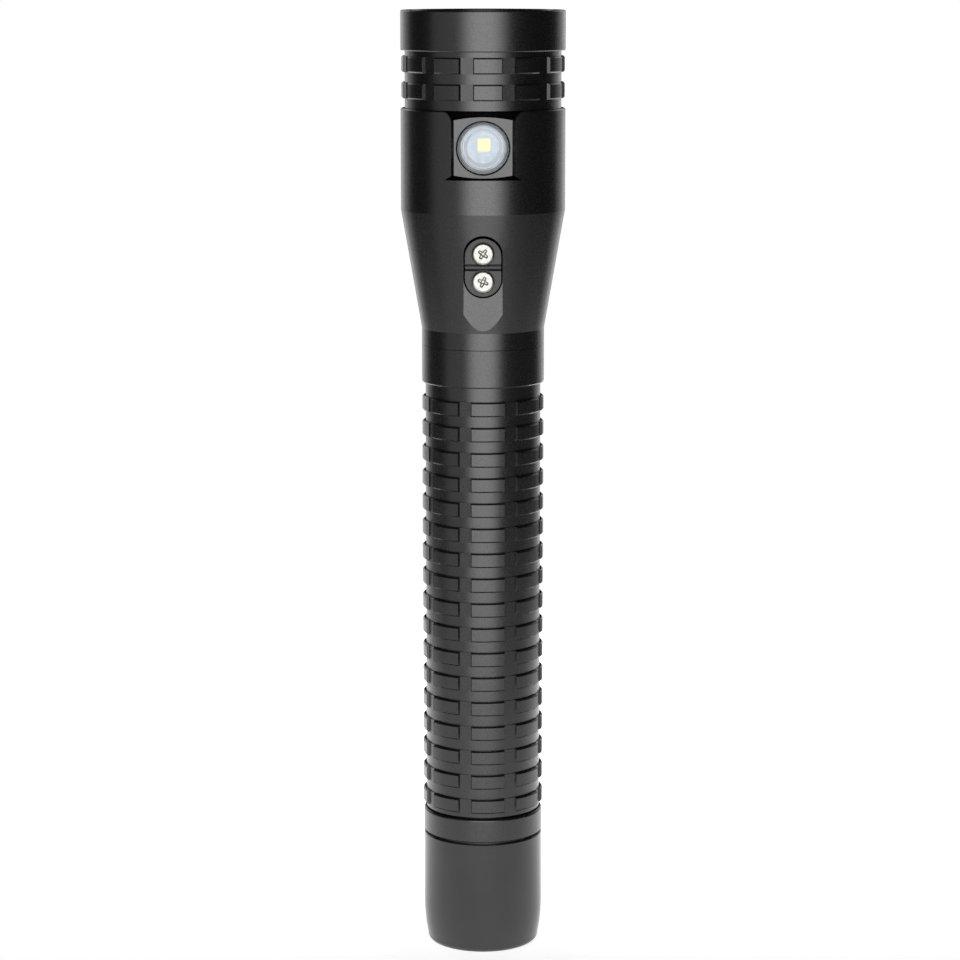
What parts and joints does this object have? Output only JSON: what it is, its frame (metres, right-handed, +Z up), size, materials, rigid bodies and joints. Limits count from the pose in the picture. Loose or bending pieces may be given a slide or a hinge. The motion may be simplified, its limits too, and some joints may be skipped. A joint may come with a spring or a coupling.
{
  "type": "tactical flashlight",
  "caption": "Full-size duty flashlight with a front beam, a side floodlight, charging contacts, a padded grip, body switches and a screw-off tail cap.",
  "frame": {"origin": "centre of the flat base of the tail boot, where the light stands on a table", "axes": "+Z up the long axis to the front lens; the side light and charging contacts face -Y; the switches face +Y; +X to the right when the side light faces the viewer"},
  "size_m": [0.0414, 0.0414, 0.2406],
  "materials": {
    "anodised_aluminium": "fine bead-blasted, hard black anodised",
    "boot_polymer": "smooth soft-touch moulding",
    "lens_glass": "clear, coated",
    "flood_glass": "clear, bevelled rim",
    "mirror_coat": "vacuum-metallised, smooth",
    "white_cup": "white, satin",
    "phosphor": "yellow phosphor under clear silicone",
    "circuit_board": "solder mask",
    "metal_core_board": "white solder mask on metal",
    "black_nylon": "moulded glass-filled nylon",
    "grey_nylon": "moulded grey nylon",
    "nickel": "nickel plated, polished",
    "brass": "turned",
    "bare_aluminium": "turned, uncoated",
    "silicone": "moulded silicone",
    "seal_rubber": "nitrile O-ring",
    "spring_steel": "drawn wire, plated",
    "cell_wrap": "shrink wrap",
    "sleeve_film": "printed-free black film",
    "wire_jacket": "silicone wire jacket"
  },
  "bodies": {
    "flashlight": {"tail_o_ring": "seal_rubber", "handle_tube": "anodised_aluminium", "head_o_ring": "seal_rubber", "head_body": "anodised_aluminium", "cooling_collar": "anodised_aluminium", "bezel_ring": "anodised_aluminium", "lens_gasket": "seal_rubber", "front_lens": "lens_glass", "main_reflector": "mirror_coat", "led_centring_ring": "white_cup", "main_led": "phosphor", "main_led_board": "metal_core_board", "heat_sink": "bare_aluminium", "flood_lens": "flood_glass", "flood_o_ring": "seal_rubber", "flood_seat": "grey_nylon", "flood_reflector": "white_cup", "flood_led_board": "metal_core_board", "flood_led": "phosphor", "contact_block": "black_nylon", "contact_screws": "nickel", "contact_inserts": "brass", "switch_plate": "black_nylon", "switch_screws": "nickel", "switch_membrane": "silicone", "switch_board": "circuit_board", "tact_switches": "black_nylon", "driver_board": "circuit_board", "driver_parts": "black_nylon", "main_led_leads": "wire_jacket", "flood_led_leads": "wire_jacket", "front_contact_carrier": "black_nylon", "front_contact_retainer": "brass", "front_contact": "brass", "rear_cell": "cell_wrap", "front_cell": "cell_wrap", "battery_sleeve": "sleeve_film", "battery_terminal": "nickel", "battery_rear_cap": "nickel"},
    "spot_button": {"spot_button": "silicone"},
    "flood_button": {"flood_button": "silicone"},
    "tail_carriage": {"tail_contact_plate": "brass", "tail_spring": "spring_steel"},
    "tail_cap": {"tail_core": "anodised_aluminium", "tail_boot": "boot_polymer", "tail_ring": "anodised_aluminium"}
  },
  "joints": [
    {"name": "spot_button_press", "type": "slide", "parent": "flashlight", "child": "spot_button", "axis": [0, -1, 0], "range_m": [0, 0.0006], "stiffness_N_per_m": 1500, "springref_m": -0.0004},
    {"name": "flood_button_press", "type": "slide", "parent": "flashlight", "child": "flood_button", "axis": [0, -1, 0], "range_m": [0, 0.0006], "stiffness_N_per_m": 1500, "springref_m": -0.0004},
    {"name": "tail_advance", "type": "slide", "parent": "flashlight", "child": "tail_carriage", "axis": [0, 0, -1], "range_m": [0, 0.009]},
    {"name": "tail_turn", "type": "hinge", "parent": "tail_carriage", "child": "tail_cap", "pos_m": [0, 0, 0], "axis": [0, 0, -1], "range_deg": [0, 2160]}
  ],
  "couplings": [
    {"joint": "tail_advance", "follows": "tail_turn", "m_per_rad": 0.00023873}
  ]
}
